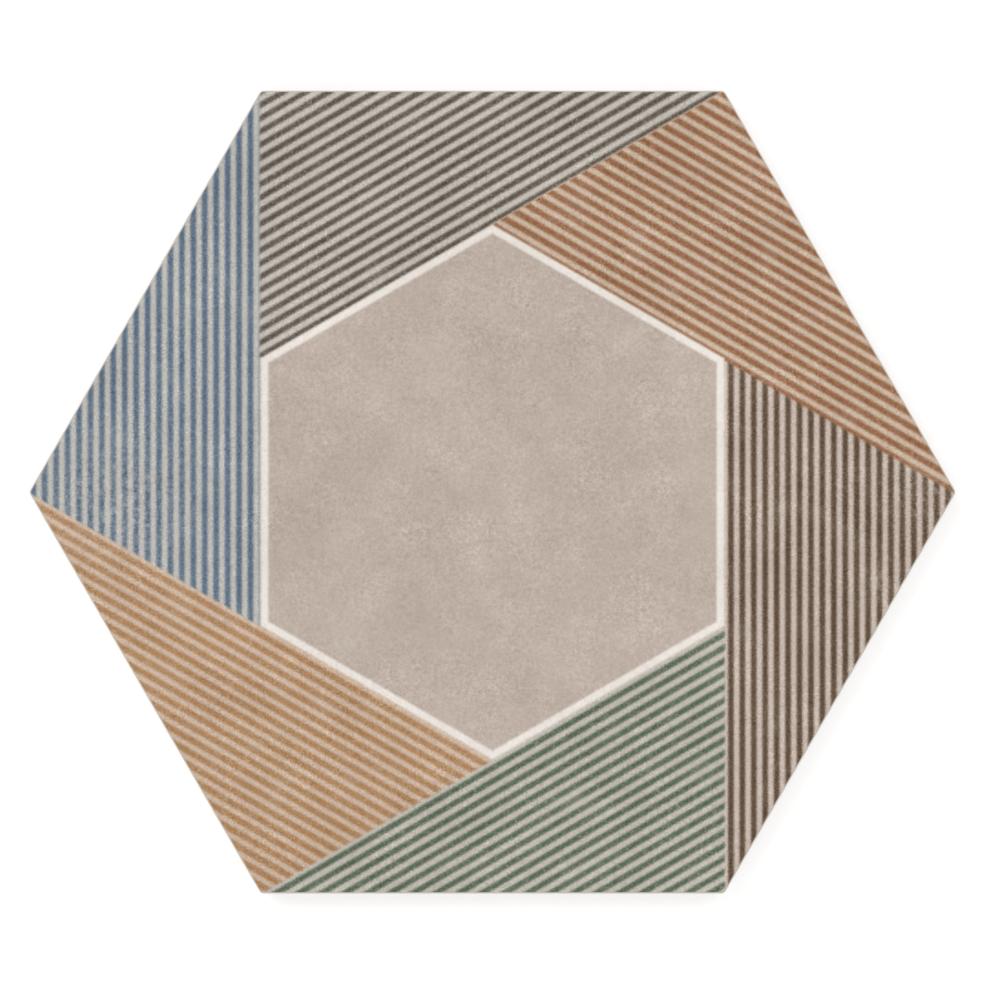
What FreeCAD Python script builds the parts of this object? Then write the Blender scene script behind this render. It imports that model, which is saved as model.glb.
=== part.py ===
import FreeCAD, Part
import Sketcher
import math
import os

# Hexagonal floor tile, pressed and fired as one piece of porcelain.
# Millimetres, +Z up. The printed face looks up and the keyed back rests on Z = 0.
# The origin is the middle of the back, two corners lie on X and two flat sides face Y.

SIZES = [
    ("across_flats", 220.0, "between two opposite sides, at the upright part of the edge"),
    ("thickness", 9.0, "from the ribs of the back to the face"),
    ("corner_radius", 1.5, "of the six corners, seen from above"),
    ("side_land", 5.0, "height of the upright part of the edge, below the face"),
    ("side_draft", 3.0, "degrees that the edge leans in below its upright part"),
    ("arris_radius", 0.7, "of the eased edge round the face"),
    ("back_bevel", 0.5, "width and height of the bevel round the back"),
    ("back_rim", 6.0, "least width of the flat rim round the keys"),
    ("key_pitch", 18.0, "between the middles of two neighbouring keys"),
    ("rib_width", 3.0, "of the ribs between the keys, where they touch the bed"),
    ("key_depth", 0.8, "of each key, from the ribs to its floor"),
    ("key_draft", 20.0, "degrees that the walls of a key lean in, so that the die lets go"),
]

SIDES = 6
TURN = 360.0 / SIDES
HALF_TURN = TURN / 2
QUARTER = 90.0
KEY_FIELDS = 3


def make_sheet(doc):
    """Writes the driving sizes to a sheet, one row each: name, number and meaning."""
    sheet = doc.addObject("Spreadsheet::Sheet", "Sizes")
    for row, (alias, number, meaning) in enumerate(SIZES, start=1):
        sheet.set(f"A{row}", alias)
        sheet.set(f"B{row}", str(number))
        sheet.set(f"C{row}", meaning)
        sheet.setAlias(f"B{row}", alias)
    doc.recompute()


def origin_feature(body, role):
    """Finds one of the body's own planes or axes."""
    return next(item for item in body.Origin.OriginFeatures if item.Role == role)


def level_sketch(body, name, axis, offset):
    """Starts a level sketch in a body, moved along one axis by an expression."""
    sketch = body.newObject("Sketcher::SketchObject", name)
    sketch.AttachmentSupport = [(origin_feature(body, "XY_Plane"), "")]
    sketch.MapMode = "FlatFace"
    sketch.setExpression(f"AttachmentOffset.Base.{axis}", offset)
    return sketch


def polar(radius, degrees):
    """Point of a sketch at a distance and a direction from its middle."""
    angle = math.radians(degrees)
    return FreeCAD.Vector(radius * math.cos(angle), radius * math.sin(angle), 0)


def add_sides(sketch, first_normal, apothem, trim):
    """Draws six lines round the middle, each shortened by trim at both ends."""
    reach = apothem * math.tan(math.radians(HALF_TURN)) - trim
    for side in range(SIDES):
        normal = first_normal + side * TURN
        middle = polar(apothem, normal)
        along = polar(reach, normal + QUARTER)
        sketch.addGeometry(Part.LineSegment(middle - along, middle + along), False)


def hold(sketch, expression, *constraint):
    """Adds a constraint whose last value is bound to an expression."""
    value = sketch.evalExpression(expression)
    held = sketch.addConstraint(Sketcher.Constraint(*constraint, value))
    sketch.setExpression(f"Constraints[{held}]", expression)


def hold_sides(sketch, first_normal, half_across):
    """Fixes the direction of each line, and its distance from the middle to an expression."""
    for side in range(SIDES):
        direction = math.radians(first_normal + side * TURN + QUARTER)
        sketch.addConstraint(Sketcher.Constraint("Angle", side, direction))
        hold(sketch, half_across, "Distance", -1, 1, side)


def rounded_hexagon(sketch, first_normal, half_across, radius):
    """Draws six sides joined by six tangent arcs, from two expressions."""
    apothem = sketch.evalExpression(half_across)
    corner = sketch.evalExpression(radius)
    half_turn = math.radians(HALF_TURN)
    add_sides(sketch, first_normal, apothem, corner * math.tan(half_turn))
    for side in range(SIDES):
        normal = first_normal + side * TURN
        middle = polar((apothem - corner) / math.cos(half_turn), normal + HALF_TURN)
        circle = Part.Circle(middle, FreeCAD.Vector(0, 0, 1), corner)
        arc = Part.ArcOfCircle(circle, math.radians(normal), math.radians(normal + TURN))
        sketch.addGeometry(arc, False)
    for side in range(SIDES):
        arc = SIDES + side
        sketch.addConstraint(Sketcher.Constraint("Tangent", side, 2, arc, 1))
        sketch.addConstraint(Sketcher.Constraint("Tangent", arc, 2, (side + 1) % SIDES, 1))
    for side in range(1, SIDES):
        sketch.addConstraint(Sketcher.Constraint("Equal", SIDES, SIDES + side))
    hold(sketch, radius, "Radius", SIDES)
    hold_sides(sketch, first_normal, half_across)


def sharp_hexagon(sketch, first_normal, half_across):
    """Draws six sides that meet in plain corners, from one expression."""
    add_sides(sketch, first_normal, sketch.evalExpression(half_across), 0.0)
    for side in range(SIDES):
        sketch.addConstraint(Sketcher.Constraint("Coincident", side, 2, (side + 1) % SIDES, 1))
    hold_sides(sketch, first_normal, half_across)


def edges_at_height(shape, height):
    """Names the edges that lie level at a height."""
    close = FreeCAD.Base.Precision.confusion()
    names = []
    for number, edge in enumerate(shape.Edges, start=1):
        if all(abs(vertex.Z - height) < close for vertex in edge.Vertexes):
            names.append(f"Edge{number}")
    return names


def make_blank(doc, body):
    """Presses the plain tile: upright edge, drafted lower edge, eased arris and bevelled back."""
    outline = level_sketch(body, "Outline", "z", "Sizes.thickness - Sizes.side_land")
    rounded_hexagon(outline, HALF_TURN, "Sizes.across_flats / 2", "Sizes.corner_radius")

    land = body.newObject("PartDesign::Pad", "UprightEdge")
    land.Profile = outline
    land.setExpression("Length", "Sizes.side_land")

    lower = body.newObject("PartDesign::Pad", "DraftedEdge")
    lower.Profile = outline
    lower.Reversed = True
    lower.setExpression("Length", "Sizes.thickness - Sizes.side_land")
    lower.setExpression("TaperAngle", "-Sizes.side_draft")
    doc.recompute()

    arris = body.newObject("PartDesign::Fillet", "Arris")
    arris.Base = (lower, edges_at_height(lower.Shape, doc.Sizes.get("thickness")))
    arris.setExpression("Radius", "Sizes.arris_radius")
    doc.recompute()

    bevel = body.newObject("PartDesign::Chamfer", "BackBevel")
    bevel.Base = (arris, edges_at_height(arris.Shape, 0.0))
    bevel.setExpression("Size", "Sizes.back_bevel")
    doc.recompute()


def count_rings(sheet):
    """Counts the rings of keys round the middle one that leave the rim its least width."""
    half_turn = math.radians(HALF_TURN)
    key_across = sheet.get("key_pitch") - sheet.get("rib_width")
    key_reach = key_across / 2 / math.cos(half_turn)
    row_gap = sheet.get("key_pitch") * math.cos(half_turn)
    field = sheet.get("across_flats") / 2 - sheet.get("back_rim")
    return math.floor((field - key_reach) / row_gap)


def press_key(doc, body, name, moved):
    """Presses one drafted key into the back, moved along X from the middle by an expression."""
    outline = level_sketch(body, f"{name}Outline", "x", moved)
    sharp_hexagon(outline, 0.0, "(Sizes.key_pitch - Sizes.rib_width) / 2")
    key = body.newObject("PartDesign::Pocket", name)
    key.Profile = outline
    key.Reversed = True
    key.Refine = False
    key.setExpression("Length", "Sizes.key_depth")
    key.setExpression("TaperAngle", "-Sizes.key_draft")
    doc.recompute()
    return key


def key_row(body, name, direction, keys):
    """Repeats a key at the pitch of the keys along a direction."""
    row = body.newObject("PartDesign::LinearPattern", name)
    row.Direction = direction
    row.Mode = "Spacing"
    row.Occurrences = keys
    row.setExpression("Offset", "Sizes.key_pitch")
    return row


def press_honeycomb(doc, body):
    """Presses the middle key, and three like fields of keys a third of a turn apart.

    Each field is a rhombus: a row along X, repeated along the tile's first side, 120 degrees on.
    """
    rings = count_rings(doc.Sizes)
    press_key(doc, body, "MiddleKey", "0")
    first = press_key(doc, body, "FirstKey", "Sizes.key_pitch")
    along = key_row(body, "KeysAlongX", (origin_feature(body, "X_Axis"), [""]), rings)
    across = key_row(body, "KeysAlongSide", (doc.Outline, ["Edge1"]), rings + 1)
    fields = body.newObject("PartDesign::PolarPattern", "KeyFields")
    fields.Axis = (origin_feature(body, "Z_Axis"), [""])
    fields.Occurrences = KEY_FIELDS
    honeycomb = body.newObject("PartDesign::MultiTransform", "Honeycomb")
    honeycomb.Originals = [first]
    honeycomb.Transformations = [along, across, fields]
    honeycomb.Refine = False
    body.Tip = honeycomb
    doc.recompute()


def make_tile(doc):
    """Builds the whole tile as one body."""
    body = doc.addObject("PartDesign::Body", "Tile")
    body.Label = "hexagon_tile"
    body.Placement = FreeCAD.Placement()
    make_blank(doc, body)
    press_honeycomb(doc, body)
    return body


def check(doc, shape):
    """Stops where a feature failed or the tile isn't one sound solid."""
    for item in doc.Objects:
        if "Invalid" in item.State or "Error" in item.State:
            raise RuntimeError(f"{item.Name} failed: {item.State}")
    if shape.isNull() or not shape.isValid() or len(shape.Solids) != 1:
        raise RuntimeError("the tile is not one sound solid")


def main():
    doc = FreeCAD.newDocument("HexagonTile")
    make_sheet(doc)
    body = make_tile(doc)
    shape = body.Shape
    check(doc, shape)
    os.makedirs("parts", exist_ok=True)
    shape.exportStep(f"parts/{body.Label}.step")
    box = shape.optimalBoundingBox(False)
    print(f"{body.Label}: {box.XLength:.2f} x {box.YLength:.2f} x {box.ZLength:.2f} mm")
    print(f"volume {shape.Volume:.1f} mm3, {len(shape.Faces)} faces")


main()
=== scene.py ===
import math
from typing import NamedTuple

import bpy
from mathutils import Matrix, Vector, noise
from mathutils.geometry import delaunay_2d_cdt


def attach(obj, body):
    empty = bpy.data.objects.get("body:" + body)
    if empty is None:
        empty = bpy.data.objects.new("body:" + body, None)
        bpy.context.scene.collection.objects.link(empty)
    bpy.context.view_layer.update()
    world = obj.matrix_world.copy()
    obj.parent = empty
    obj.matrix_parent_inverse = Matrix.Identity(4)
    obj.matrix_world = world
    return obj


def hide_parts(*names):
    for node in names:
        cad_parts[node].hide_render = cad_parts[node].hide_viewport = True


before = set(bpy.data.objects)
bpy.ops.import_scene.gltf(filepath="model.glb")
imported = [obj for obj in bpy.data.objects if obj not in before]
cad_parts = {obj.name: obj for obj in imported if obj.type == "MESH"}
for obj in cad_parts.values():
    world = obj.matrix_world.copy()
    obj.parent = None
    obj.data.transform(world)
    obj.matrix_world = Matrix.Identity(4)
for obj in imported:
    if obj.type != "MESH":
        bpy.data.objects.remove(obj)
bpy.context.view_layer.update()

# Lengths are millimetres up to the mesh, which is in metres. +Z is up, the printed face looks up.
METRE = 1000.0

# The tile, as it was pressed.
ACROSS_FLATS = 220.0
THICKNESS = 9.0
CORNER_RADIUS = 1.5
SIDE_LAND = 5.0
SIDE_DRAFT = math.radians(3.0)
ARRIS_RADIUS = 0.7
BACK_BEVEL = 0.5
KEY_PITCH = 18.0
KEY_ACROSS = 15.0
KEY_DEPTH = 0.8
KEY_DRAFT = math.radians(20.0)
KEY_RINGS = 6

# Radii that ease a key: its corners as seen from below, its lip and the foot of its walls.
KEY_CORNER = 1.0
KEY_LIP = 0.25
KEY_FOOT = 0.2

# The slight unevenness that pressing leaves in the face, which fades out towards the edge.
RELIEF_DEPTH = 0.05
RELIEF_SIZE = 9.0
RELIEF_MARGIN = 4.0
RELIEF_WAVES = 3
RELIEF_FINER = 2.0  # how many times finer each wave is than the one before
RELIEF_WEAKER = 1.0  # the power of that by which it is weaker

# How finely it is drawn.
FACE_STEP = 1.5
SIDE_STEPS = 84
CORNER_STEPS = 7
ARRIS_STEPS = 6
KEY_CORNER_STEPS = 3
KEY_ROUND_STEPS = 3
SHARP_EDGE = math.radians(35)

# How the flat parts are divided: keep what is inside the loops, and join points nearer than this.
INSIDE_LOOPS = 1
NEAR = 1e-6

SIDES = 6
TURN_DEGREES = 60
TURN = math.radians(TURN_DEGREES)
HALF_TURN = TURN / 2
QUARTER = math.radians(90)


# Shapes


def polar(radius, angle):
    return Vector((radius * math.cos(angle), radius * math.sin(angle)))


def hexagon(apothem, radius, first_normal, corner_steps, side_steps):
    """Outline with rounded corners, counterclockwise from the corner before the first side."""
    points = []
    reach = (apothem - radius) / math.cos(HALF_TURN)
    for side in range(SIDES):
        normal = first_normal + side * TURN
        middle = polar(reach, normal - HALF_TURN)
        arc = [
            middle + polar(radius, normal - TURN + TURN * step / corner_steps)
            for step in range(corner_steps + 1)
        ]
        following = polar(reach, normal + HALF_TURN) + polar(radius, normal)
        run = [arc[-1].lerp(following, step / side_steps) for step in range(1, side_steps)]
        points += arc + run
    return points


def tile_outline(inset):
    return hexagon(
        ACROSS_FLATS / 2 - inset, CORNER_RADIUS - inset, HALF_TURN, CORNER_STEPS, SIDE_STEPS
    )


def edge_profile():
    """Inset and height of the tile's edge, from the face down to the back."""
    profile = []
    for step in range(ARRIS_STEPS + 1):
        angle = QUARTER * step / ARRIS_STEPS
        inset = ARRIS_RADIUS * (1 - math.sin(angle))
        profile.append((inset, THICKNESS - ARRIS_RADIUS * (1 - math.cos(angle))))
    drafted = THICKNESS - SIDE_LAND
    foot = drafted * math.tan(SIDE_DRAFT)
    bevel_top = BACK_BEVEL * math.cos(SIDE_DRAFT)
    profile.append((0.0, drafted))
    profile.append((foot - BACK_BEVEL * math.sin(SIDE_DRAFT), bevel_top))
    profile.append((foot + BACK_BEVEL, 0.0))
    return profile


def key_profile():
    """Half width and height of a key, from its lip at the back to its floor, with both edges eased."""
    lean = math.tan((QUARTER - KEY_DRAFT) / 2)
    lip = (KEY_ACROSS / 2 + KEY_LIP * lean, KEY_LIP)
    floor = KEY_ACROSS / 2 - KEY_DEPTH * math.tan(KEY_DRAFT)
    foot = (floor - KEY_FOOT * lean, KEY_DEPTH - KEY_FOOT)
    profile = []
    for step in range(KEY_ROUND_STEPS + 1):
        angle = -QUARTER - (QUARTER - KEY_DRAFT) * step / KEY_ROUND_STEPS
        profile.append((lip[0] + KEY_LIP * math.cos(angle), lip[1] + KEY_LIP * math.sin(angle)))
    for step in range(KEY_ROUND_STEPS + 1):
        angle = KEY_DRAFT + (QUARTER - KEY_DRAFT) * step / KEY_ROUND_STEPS
        profile.append((foot[0] + KEY_FOOT * math.cos(angle), foot[1] + KEY_FOOT * math.sin(angle)))
    return profile


def key_middles():
    """Middles of the keys: a honeycomb in rings round the middle one."""
    middles = []
    for row in range(-KEY_RINGS, KEY_RINGS + 1):
        keys = 2 * KEY_RINGS + 1 - abs(row)
        for key in range(keys):
            x = (key - (keys - 1) / 2) * KEY_PITCH
            middles.append(Vector((x, row * KEY_PITCH * math.cos(HALF_TURN))))
    return middles


def depth_inside(point, apothem):
    """Distance from a point to the nearest side of a hexagon whose corners are on X."""
    return min(
        apothem - abs(point.dot(polar(1, HALF_TURN + turn * TURN))) for turn in range(SIDES // 2)
    )


def lattice(step, apothem):
    """Even triangular grid of points inside a hexagon whose corners are on X."""
    points = []
    rows = int(apothem / (step * math.cos(HALF_TURN)))
    columns = int(2 * apothem / step)
    for row in range(-rows, rows + 1):
        y = row * step * math.cos(HALF_TURN)
        for column in range(-columns, columns + 1):
            point = Vector(((column + (row % 2) / 2) * step, y))
            if depth_inside(point, apothem) > 0:
                points.append(point)
    return points


def relief(point):
    """Depth of the face below its edge, none at the edge itself."""
    inside = depth_inside(point, ACROSS_FLATS / 2)
    fade = min(max(inside - ARRIS_RADIUS, 0) / RELIEF_MARGIN, 1)
    place = Vector((point.x, point.y, 0)) / RELIEF_SIZE
    waves = noise.fractal(place, RELIEF_WEAKER, RELIEF_FINER, RELIEF_WAVES)
    return RELIEF_DEPTH * fade * min(max(0.5 + waves / 2, 0), 1)


# The map that the looks are baked to

# Middles, rows and columns are in its own pixels, and scales in pixels for each millimetre.
MAP = 1024
FACE_SCALE = 3.98
FACE_MIDDLE = Vector((512, 444))
BACK_SCALE = 1.0
BACK_MIDDLE = Vector((892, 907))
SIDE_SCALE = 2.8
SIDE_ROWS = (901, 934, 967)
SIDE_COLUMNS = (4, 370)


def face_place(point):
    return (FACE_MIDDLE + point * FACE_SCALE) / MAP


def back_place(point):
    return (BACK_MIDDLE + Vector((-point.x, point.y)) * BACK_SCALE) / MAP


def side_place(side, along, down):
    corner = Vector((SIDE_COLUMNS[side % 2], SIDE_ROWS[side // 2]))
    return (corner + Vector((along, down)) * SIDE_SCALE) / MAP


# The mesh of the tile

# The order of its two materials.
PRINTED = 0
BARE = 1


class Surface:
    """Gathers the points and faces of one mesh, with the faces' places on the map and materials."""

    def __init__(self):
        self.points = []
        self.faces = []
        self.places = []
        self.finishes = []

    def add_points(self, points):
        first = len(self.points)
        self.points += points
        return list(range(first, len(self.points)))

    def add_face(self, corners, places, finish):
        self.faces.append(corners)
        self.places += places
        self.finishes.append(finish)

    def add_band(self, upper, lower, upper_places, lower_places, finish):
        """Joins two rings of as many points, the upper one first as seen from outside."""
        for here in range(len(upper)):
            after = (here + 1) % len(upper)
            self.add_face(
                [upper[here], lower[here], lower[after], upper[after]],
                [upper_places[here], lower_places[here], lower_places[after], upper_places[after]],
                finish,
            )

    def to_object(self, name, materials):
        mesh = bpy.data.meshes.new(name)
        mesh.from_pydata([point / METRE for point in self.points], [], self.faces)
        for material in materials:
            mesh.materials.append(material)
        mesh.polygons.foreach_set("material_index", self.finishes)
        mesh.uv_layers.new(name="OFBake")
        mesh.uv_layers["OFBake"].data.foreach_set("uv", [n for place in self.places for n in place])
        mesh.polygons.foreach_set("use_smooth", [True] * len(mesh.polygons))
        mesh.set_sharp_from_angle(angle=SHARP_EDGE)
        mesh.update()
        obj = bpy.data.objects.new(name, mesh)
        bpy.context.scene.collection.objects.link(obj)
        return obj


def raised(points, height):
    return [Vector((point.x, point.y, height)) for point in points]


def add_arris(surface, rings):
    """The eased edge round the face. On the map it is rolled out flat round the face."""
    unrolled = [
        [face_place(point) for point in tile_outline(ARRIS_RADIUS * (1 - QUARTER * step / ARRIS_STEPS))]
        for step in range(ARRIS_STEPS + 1)
    ]
    for step in range(ARRIS_STEPS):
        surface.add_band(
            rings[step], rings[step + 1], unrolled[step], unrolled[step + 1], PRINTED
        )


def add_face(surface, ring):
    """The printed face inside its ring of points."""
    edge = tile_outline(ARRIS_RADIUS)
    inner = lattice(FACE_STEP, ACROSS_FLATS / 2 - ARRIS_RADIUS - FACE_STEP / 2)
    flat, _, triangles, *_ = delaunay_2d_cdt(
        edge + inner, [], [list(range(len(edge)))], INSIDE_LOOPS, NEAR
    )
    middle = surface.add_points(
        [Vector((p.x, p.y, THICKNESS - relief(p))) for p in flat[len(edge):]]
    )
    numbers = ring + middle
    for corners in triangles:
        surface.add_face(
            [numbers[c] for c in corners], [face_place(flat[c]) for c in corners], PRINTED
        )


def add_sides(surface, rings):
    """The six sides, each with half of the corner at either end, as strips on the map."""
    outline = tile_outline(0.0)
    per_side = len(outline) // SIDES
    heights = [surface.points[ring[0]].z for ring in rings]
    for side in range(SIDES):
        start = side * per_side + CORNER_STEPS // 2
        along = 0.0
        for step in range(per_side):
            here = (start + step) % len(outline)
            after = (here + 1) % len(outline)
            reach = along + (outline[after] - outline[here]).length
            for upper, lower in zip(range(len(rings)), range(1, len(rings))):
                down = THICKNESS - heights[upper]
                deeper = THICKNESS - heights[lower]
                surface.add_face(
                    [rings[upper][here], rings[lower][here], rings[lower][after], rings[upper][after]],
                    [
                        side_place(side, along, down),
                        side_place(side, along, deeper),
                        side_place(side, reach, deeper),
                        side_place(side, reach, down),
                    ],
                    BARE,
                )
            along = reach


def add_bevel(surface, upper, lower, inset):
    """The bevel round the back, down to an inset. On the map it is a rim outside the back."""
    rim = [back_place(point) for point in tile_outline(inset - 2 * BACK_BEVEL)]
    foot = [back_place(point) for point in tile_outline(inset)]
    surface.add_band(upper, lower, rim, foot, BARE)


def add_back(surface, rim):
    """The ribs and the keys pressed into the back."""
    profile = key_profile()
    shapes = [hexagon(half, KEY_CORNER, 0.0, KEY_CORNER_STEPS, 1) for half, _ in profile]
    numbers = list(rim)
    flat = [surface.points[number].to_2d() for number in rim]
    loops = [list(range(len(flat)))]
    for middle in key_middles():
        rings = [
            surface.add_points(raised([middle + point for point in shape], height))
            for shape, (_, height) in zip(shapes, profile)
        ]
        places = [[back_place(middle + point) for point in shape] for shape in shapes]
        for upper in range(len(rings) - 1):
            surface.add_band(
                rings[upper + 1], rings[upper], places[upper + 1], places[upper], BARE
            )
        surface.add_face(rings[-1][::-1], places[-1][::-1], BARE)
        loops.append(list(range(len(flat), len(flat) + len(shapes[0]))))
        flat += [middle + point for point in shapes[0]]
        numbers += rings[0]

    _, _, triangles, _, _, within = delaunay_2d_cdt(flat, [], loops, INSIDE_LOOPS, NEAR)
    for corners, around in zip(triangles, within):
        if around == [0]:  # inside the rim and outside every key
            surface.add_face(
                [numbers[c] for c in reversed(corners)],
                [back_place(flat[c]) for c in reversed(corners)],
                BARE,
            )


def tile_surface():
    """The whole tile, from its face down to its back."""
    surface = Surface()
    profile = edge_profile()
    rings = [surface.add_points(raised(tile_outline(inset), height)) for inset, height in profile]
    add_arris(surface, rings)
    add_face(surface, rings[0])
    add_sides(surface, rings[ARRIS_STEPS:-1])
    add_bevel(surface, rings[-2], rings[-1], profile[-1][0])
    add_back(surface, rings[-1])
    return surface


# Materials


def screen(*levels):
    """Colour given as it looks on a screen, in steps of 255."""
    return (*(level / 255 for level in levels), 1.0)


class Noise(NamedTuple):
    """Soft noise. Its values mostly lie within a quarter of its depth of its middle."""

    size: float  # about how large its patches are
    pattern: float  # which pattern it is
    depth: float = 1.0
    middle: float = 0.0
    detail: float = 2.0
    roughness: float = 0.6


class Graph:
    """Adds nodes to a material or a world and joins them. Its lengths are millimetres."""

    def __init__(self, owner):
        owner.use_nodes = True
        self.owner = owner
        self.tree = owner.node_tree
        self.tree.nodes.clear()

    def node(self, kind, inputs=(), **settings):
        """Adds a node. Inputs is a dict of socket names or numbers to values or sockets."""
        made = self.tree.nodes.new(kind)
        for name, value in settings.items():
            setattr(made, name, value)
        for socket, value in dict(inputs).items():
            self.give(made.inputs[socket], value)
        return made

    def give(self, socket, value):
        if isinstance(value, bpy.types.NodeSocket):
            self.tree.links.new(value, socket)
        else:
            socket.default_value = value

    def maths(self, operation, first, second=0.0, third=0.0):
        inputs = {0: first, 1: second, 2: third}
        return self.node("ShaderNodeMath", inputs, operation=operation).outputs[0]

    def line(self, value, slope, start):
        """The value times a slope, plus a start."""
        return self.maths("MULTIPLY_ADD", value, slope, start)

    def rest(self, share):
        """What a share leaves of 1."""
        return self.maths("SUBTRACT", 1.0, share)

    def product(self, first, *others):
        for other in others:
            first = self.maths("MULTIPLY", first, other)
        return first

    def total(self, first, *others):
        for other in others:
            first = self.maths("ADD", first, other)
        return first

    def greatest(self, first, *others):
        for other in others:
            first = self.maths("MAXIMUM", first, other)
        return first

    def vector(self, operation, first, second):
        made = self.node("ShaderNodeVectorMath", {0: first}, operation=operation)
        self.give(made.inputs["Scale" if operation == "SCALE" else 1], second)
        a_number = operation in ("DOT_PRODUCT", "DISTANCE")
        return made.outputs["Value" if a_number else "Vector"]

    def mix(self, share, first, second):
        """Colour between two."""
        inputs = {"Factor": share, "A_Color": first, "B_Color": second}
        made = self.tree.nodes.new("ShaderNodeMix")
        made.data_type = "RGBA"
        for socket in made.inputs:
            if socket.identifier in ("Factor_Float", "A_Color", "B_Color"):
                self.give(socket, inputs[socket.identifier.replace("_Float", "")])
        return next(socket for socket in made.outputs if socket.identifier == "Result_Color")

    def past(self, value, edge, softness):
        """0 below an edge and 1 above it, with a soft step that spreads to either side."""
        inputs = {"Value": value, "From Min": edge - softness, "From Max": edge + softness}
        made = self.node("ShaderNodeMapRange", inputs, interpolation_type="SMOOTHSTEP")
        return made.outputs["Result"]

    def clouds(self, place, kind):
        """Soft noise of one kind."""
        inputs = {
            "Vector": place,
            "W": kind.pattern,
            "Scale": 1 / kind.size,
            "Detail": kind.detail,
            "Roughness": kind.roughness,
        }
        texture = self.node("ShaderNodeTexNoise", inputs, noise_dimensions="4D").outputs["Fac"]
        return self.line(texture, kind.depth, kind.middle - kind.depth / 2)

    def place(self):
        coordinates = self.node("ShaderNodeTexCoord").outputs["Object"]
        return self.vector("SCALE", coordinates, METRE)

    def bump(self, height):
        inputs = {"Height": height, "Distance": 1 / METRE, "Strength": 1.0}
        return self.node("ShaderNodeBump", inputs).outputs["Normal"]

    def finish(self, colour, roughness, shine, normal):
        """Joins the shader, with its colour turned from how it looks on a screen."""
        linear = self.node("ShaderNodeGamma", {"Color": colour, "Gamma": 2.2}).outputs["Color"]
        inputs = {"Base Color": linear, "Roughness": roughness, "Normal": normal}
        inputs["Specular IOR Level"] = shine
        shader = self.node("ShaderNodeBsdfPrincipled", inputs)
        self.node("ShaderNodeOutputMaterial", {"Surface": shader.outputs["BSDF"]})
        return self.owner

    def seen(self):
        """1 for what the camera sees, also in glass and in metal, and 0 for the light on things."""
        rays = self.node("ShaderNodeLightPath").outputs
        return self.greatest(
            rays["Is Camera Ray"], rays["Is Glossy Ray"], rays["Is Transmission Ray"]
        )


CENTRE = screen(185, 170, 158)
CREAM = screen(233, 226, 219)
BODY = screen(206, 198, 187)
SCUFF = screen(221, 211, 202)
MATT_SHINE = 0.28

# The print: distances from the middle of the tile to the two edges of the cream border, how far
# the step between two colours spreads to either side, and the pitch of the stripes.
BORDER_OUTER = 63.48
BORDER_INNER = 61.37
EDGE_SOFTNESS = 0.55
END_SOFTNESS = 0.3
STRIPE_PITCH = 3.13


class Panel(NamedTuple):
    """A striped panel. Its places are distances from the middle of the tile, across its stripes."""

    ink: tuple
    ground: tuple
    inner_edge: float
    first_stripe: float  # the middle of its first whole stripe
    ink_share: float  # of the pitch
    wear: float
    cut_ink: float = 1.0  # how full the ink is in the cut stripe at its inner edge
    end_gap: float = 0.0  # how far its stripes stop short of the next panel


# The panels by the direction across their stripes, in degrees.
PANELS = {
    120: Panel(screen(83, 74, 65), screen(191, 184, 174), 63.7, 67.21, 0.46, 2.1),
    60: Panel(screen(140, 96, 65), screen(199, 176, 156), 63.0, 66.51, 0.52, 1.5, end_gap=0.35),
    0: Panel(screen(83, 65, 48), screen(195, 180, 169), 63.6, 65.30, 0.48, 1.0),
    300: Panel(screen(81, 95, 76), screen(188, 181, 171), 63.6, 65.46, 0.47, 2.3),
    240: Panel(screen(164, 123, 85), screen(199, 175, 154), 63.6, 65.62, 0.53, 2.1),
    180: Panel(screen(85, 103, 123), screen(184, 181, 175), 63.7, 66.28, 0.48, 1.1, cut_ink=0.3),
}

# Keeps the division by the panels' weights sound inside the border, where they are 0.
LEAST_WEIGHT = 0.001


class Rub(NamedTuple):
    """A place where the print is rubbed."""

    middle: tuple
    reach: float
    strength: float  # in its middle, as a share


RUBS = [
    Rub((-103.0, -2.0, THICKNESS), 36.0, 0.13),
    Rub((117.0, -2.0, THICKNESS), 17.0, 0.10),
    Rub((107.0, -24.0, THICKNESS), 13.0, 0.08),
]

# Wear of the ink: how far the stripes' edges stray, and where it is thin. Both grow with rubbing.
RAGGED_EDGES = Noise(0.5, 11.0)
RAGGEDNESS = 0.7
RAGGEDNESS_BY_RUBBING = 7.0
THIN_INK = Noise(0.9, 12.0, detail=3.0, roughness=0.7)
WEAR_BY_RUBBING = 12.0

# The pale haze and its soft spots where the print is rubbed.
HAZE = Noise(1.1, 14.0, depth=10.0, middle=0.8)
SPOTS = Noise(2.5, 17.0, detail=1.0)
SPOT_EDGE = 0.12
SPOT_SOFTNESS = 0.10
SPOT_STRENGTH = 2.0
MOST_HAZE = 0.45

# The cement look. Depths are shares of white, apart from those of where it is busy.
PATCHES = Noise(18.0, 1.0, depth=0.10, detail=3.0, roughness=0.45)
BLOTCHES = Noise(1.6, 2.0, depth=0.14, detail=3.0, roughness=0.7)
SPECKS = Noise(1.0, 16.0, depth=0.16)
GRAIN = Noise(0.5, 9.0, detail=1.0)
GRAIN_DEPTH = 0.11
MORE_GRAIN_ON_PANELS = 0.14
BUSY = Noise(12.0, 15.0, depth=2.0, middle=1.0, detail=1.0)
LESS_ON_BORDER = 0.35

# Its threads: fine bright curls, in some places only.
THREADS = Noise(1.6, 13.0, depth=12.0)
THREAD_PLACES = Noise(7.0, 13.5, depth=4.0, middle=0.5)
THREAD_BRIGHTNESS = 0.035

# The print ends on the arris, this far below the face.
PRINT_END = 0.07
PRINT_END_SOFTNESS = 0.05

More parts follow.
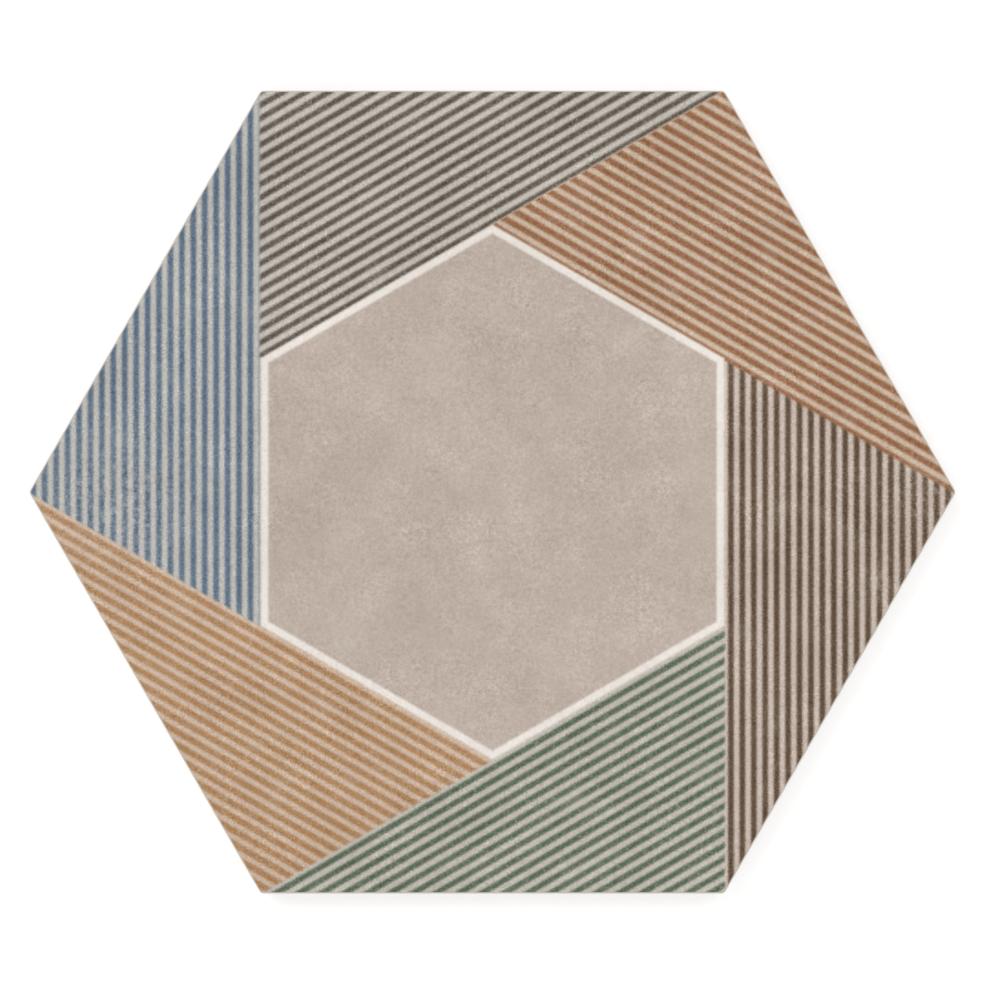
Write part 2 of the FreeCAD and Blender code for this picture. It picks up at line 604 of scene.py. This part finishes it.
# The touch of the face and the look of the bare porcelain. The depths of bumps are millimetres.
FACE_BUMPS = Noise(0.8, 3.0, depth=0.03, detail=3.0)
FACE_ROUGHNESS = Noise(5.0, 4.0, depth=0.2, middle=0.60)
BARE_PATCHES = Noise(20.0, 5.0, depth=0.12, middle=1.0, detail=3.0)
BARE_GRAIN = Noise(0.6, 6.0, depth=0.20, middle=1.0, detail=4.0, roughness=0.75)
BARE_BUMPS = Noise(0.6, 7.0, depth=0.06, detail=3.0)
BARE_ROUGHNESS = Noise(4.0, 8.0, depth=0.2, middle=0.75)


def distances(graph, place):
    """Distance from the middle in each of the six directions, by degrees."""
    found = {}
    for degrees in range(0, 180, TURN_DEGREES):
        across = graph.vector("DOT_PRODUCT", place, polar(1, math.radians(degrees)).to_3d())
        found[degrees] = across
        found[degrees + 180] = graph.product(across, -1.0)
    return found


def following(degrees):
    """Direction of the next panel, counterclockwise."""
    return (degrees + TURN_DEGREES) % 360


def rubbing(graph, place):
    """How much the print is rubbed at a place, as a share."""
    most = 0.0
    for rub in RUBS:
        away = graph.vector("DISTANCE", place, rub.middle)
        near = graph.rest(graph.past(away, rub.reach / 2, rub.reach / 2))
        most = graph.greatest(graph.product(near, rub.strength), most)
    return most


def panel_colour(graph, across, degrees, ragged, thin, rubbed):
    """Colour of one panel, as if it covered the whole tile."""
    panel = PANELS[degrees]
    from_first = graph.total(across[degrees], ragged, -panel.first_stripe)
    from_ink = graph.maths("PINGPONG", from_first, STRIPE_PITCH / 2)
    bare = graph.past(from_ink, panel.ink_share * STRIPE_PITCH / 2, EDGE_SOFTNESS)
    worn = graph.product(thin, graph.line(rubbed, WEAR_BY_RUBBING, panel.wear))
    bare = graph.greatest(bare, worn)
    if panel.cut_ink < 1:
        in_cut_stripe = graph.maths("LESS_THAN", from_first, -STRIPE_PITCH / 2)
        bare = graph.greatest(bare, graph.product(in_cut_stripe, 1 - panel.cut_ink))
    if panel.end_gap:
        end = PANELS[following(degrees)].inner_edge - panel.end_gap
        bare = graph.greatest(bare, graph.past(across[following(degrees)], end, END_SOFTNESS))
    return graph.mix(bare, panel.ink, panel.ground)


def striped_colour(graph, across, ragged, thin, rubbed):
    """Colour of the six panels. Each starts at its own inner edge and ends where the next starts."""
    started = {
        degrees: graph.past(across[degrees], panel.inner_edge, EDGE_SOFTNESS)
        for degrees, panel in PANELS.items()
    }
    colours = (0.0, 0.0, 0.0)
    weights = 0.0
    for degrees in PANELS:
        colour = panel_colour(graph, across, degrees, ragged, thin, rubbed)
        weight = graph.product(started[degrees], graph.rest(started[following(degrees)]))
        colours = graph.vector("ADD", colours, graph.vector("SCALE", colour, weight))
        weights = graph.total(weights, weight)
    whole = graph.maths("DIVIDE", 1.0, graph.greatest(weights, LEAST_WEIGHT))
    return graph.vector("SCALE", colours, whole)


def threads(graph, place):
    """Bright curls in a net, thicker in some places than in others."""
    curls = graph.rest(graph.maths("ABSOLUTE", graph.clouds(place, THREADS)))
    where = graph.clouds(place, THREAD_PLACES)
    net = graph.product(graph.greatest(curls, 0.0), graph.greatest(where, 0.0))
    return graph.product(net, THREAD_BRIGHTNESS)


def cement_mottle(graph, place, in_panel, past_border):
    """How much the cement look lightens or darkens a place. It is weakest on the border."""
    grain_depth = graph.line(in_panel, MORE_GRAIN_ON_PANELS, GRAIN_DEPTH)
    grain = graph.product(graph.clouds(place, GRAIN), grain_depth)
    blotches = graph.clouds(place, BLOTCHES)
    specks = graph.clouds(place, SPECKS)
    in_border = graph.maths("SUBTRACT", past_border, in_panel)
    calm = graph.line(in_border, -LESS_ON_BORDER, 1.0)
    fine = graph.total(blotches, specks, grain, threads(graph, place))
    fine = graph.product(fine, graph.clouds(place, BUSY), calm)
    return graph.total(fine, graph.clouds(place, PATCHES))


def rubbed_haze(graph, place, rubbed):
    """Share of the pale haze over the print."""
    haze = graph.greatest(graph.clouds(place, HAZE), 0.0)
    spots = graph.past(graph.clouds(place, SPOTS), SPOT_EDGE, SPOT_SOFTNESS)
    haze = graph.total(haze, graph.product(spots, SPOT_STRENGTH))
    return graph.maths("MINIMUM", graph.product(haze, rubbed), MOST_HAZE)


def print_colour(graph, place):
    """Colour of the whole print: six striped panels, the cream border and the plain middle."""
    across = distances(graph, place)
    furthest = graph.greatest(*across.values())
    in_panel = graph.past(furthest, BORDER_OUTER, EDGE_SOFTNESS)
    past_border = graph.past(furthest, BORDER_INNER, EDGE_SOFTNESS)
    rubbed = rubbing(graph, place)
    raggedness = graph.line(rubbed, RAGGEDNESS_BY_RUBBING, RAGGEDNESS)
    ragged = graph.product(graph.clouds(place, RAGGED_EDGES), raggedness)
    thin = graph.greatest(graph.clouds(place, THIN_INK), 0.0)

    colour = striped_colour(graph, across, ragged, thin, rubbed)
    colour = graph.mix(in_panel, CREAM, colour)
    colour = graph.mix(past_border, CENTRE, colour)
    colour = graph.vector("ADD", colour, cement_mottle(graph, place, in_panel, past_border))
    return graph.mix(rubbed_haze(graph, place, rubbed), colour, SCUFF)


def printed_material():
    graph = Graph(bpy.data.materials.new("printed_porcelain"))
    place = graph.place()
    height = graph.node("ShaderNodeSeparateXYZ", {0: place}).outputs["Z"]
    inked = graph.past(height, THICKNESS - PRINT_END, PRINT_END_SOFTNESS)
    colour = graph.mix(inked, BODY, print_colour(graph, place))
    roughness = graph.clouds(place, FACE_ROUGHNESS)
    normal = graph.bump(graph.clouds(place, FACE_BUMPS))
    return graph.finish(colour, roughness, MATT_SHINE, normal)


def bare_material():
    graph = Graph(bpy.data.materials.new("bare_porcelain"))
    place = graph.place()
    shade = graph.product(graph.clouds(place, BARE_PATCHES), graph.clouds(place, BARE_GRAIN))
    colour = graph.vector("SCALE", BODY[:3], shade)
    roughness = graph.clouds(place, BARE_ROUGHNESS)
    normal = graph.bump(graph.clouds(place, BARE_BUMPS))
    return graph.finish(colour, roughness, MATT_SHINE, normal)


def make_tile():
    tile = tile_surface().to_object("printed_tile", [printed_material(), bare_material()])
    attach(tile, "root")
    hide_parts("hexagon_tile")


# Studio

# The camera looks straight down, and its frame is this wide at the height of the face.
FRAME_WIDTH = 269.2
FRAME_MIDDLE = Vector((-0.27, 0.16))
LENS = 135.0
SENSOR = 36.0

# The floor is a square. It glows only where it is seen, so that it shows as white.
FLOOR_SIZE = 6.0 * METRE
FLOOR_COLOUR = (0.8, 0.8, 0.8, 1.0)
FLOOR_GLOW = 0.36

# The sky is seen as white too, and lights the tile with less than that.
SKY_COLOUR = (1.0, 1.0, 1.0, 1.0)
SKY_LIGHT = 0.55

# Four soft lamps stand round the tile, each with its direction in degrees and share of their light.
LAMPS = [(135, 0.4), (45, 0.2), (225, 0.2), (315, 0.2)]
LAMP_TILT = math.radians(45)
LAMP_ANGLE = math.radians(35)
LAMP_LIGHT = 1.9


def make_camera():
    data = bpy.data.cameras.new("camera")
    data.lens = LENS
    data.sensor_width = SENSOR
    camera = bpy.data.objects.new("camera", data)
    distance = FRAME_WIDTH * LENS / SENSOR
    camera.location = Vector((FRAME_MIDDLE.x, FRAME_MIDDLE.y, THICKNESS + distance)) / METRE
    bpy.context.scene.collection.objects.link(camera)
    bpy.context.scene.camera = camera


def floor_material():
    graph = Graph(bpy.data.materials.new("studio_floor"))
    pale = graph.node("ShaderNodeBsdfDiffuse", {"Color": FLOOR_COLOUR}).outputs[0]
    glow = graph.node("ShaderNodeEmission", {"Strength": FLOOR_GLOW}).outputs[0]
    lit = graph.node("ShaderNodeAddShader", {0: pale, 1: glow}).outputs[0]
    chosen = graph.node("ShaderNodeMixShader", {0: graph.seen(), 1: pale, 2: lit}).outputs[0]
    graph.node("ShaderNodeOutputMaterial", {"Surface": chosen})
    return graph.owner


def make_floor():
    mesh = bpy.data.meshes.new("studio_floor")
    half = FLOOR_SIZE / 2 / METRE
    corners = [(-half, -half, 0), (half, -half, 0), (half, half, 0), (-half, half, 0)]
    mesh.from_pydata(corners, [], [(0, 1, 2, 3)])
    mesh.materials.append(floor_material())
    floor = bpy.data.objects.new("studio_floor", mesh)
    bpy.context.scene.collection.objects.link(floor)


def make_sky():
    graph = Graph(bpy.data.worlds.new("studio"))
    level = graph.line(graph.seen(), 1.0 - SKY_LIGHT, SKY_LIGHT)
    sky = graph.node("ShaderNodeBackground", {"Color": SKY_COLOUR, "Strength": level})
    graph.node("ShaderNodeOutputWorld", {"Surface": sky.outputs["Background"]})
    bpy.context.scene.world = graph.owner


def make_lamps():
    for degrees, share in LAMPS:
        data = bpy.data.lights.new(f"softbox_{degrees}", "SUN")
        data.energy = LAMP_LIGHT * share
        data.angle = LAMP_ANGLE
        lamp = bpy.data.objects.new(f"softbox_{degrees}", data)
        towards = polar(math.sin(LAMP_TILT), math.radians(degrees)).to_3d()
        towards.z = math.cos(LAMP_TILT)
        lamp.rotation_euler = towards.to_track_quat("Z", "Y").to_euler()
        bpy.context.scene.collection.objects.link(lamp)


make_tile()
make_camera()
make_floor()
make_sky()
make_lamps()
bpy.context.scene.view_settings.view_transform = "Standard"
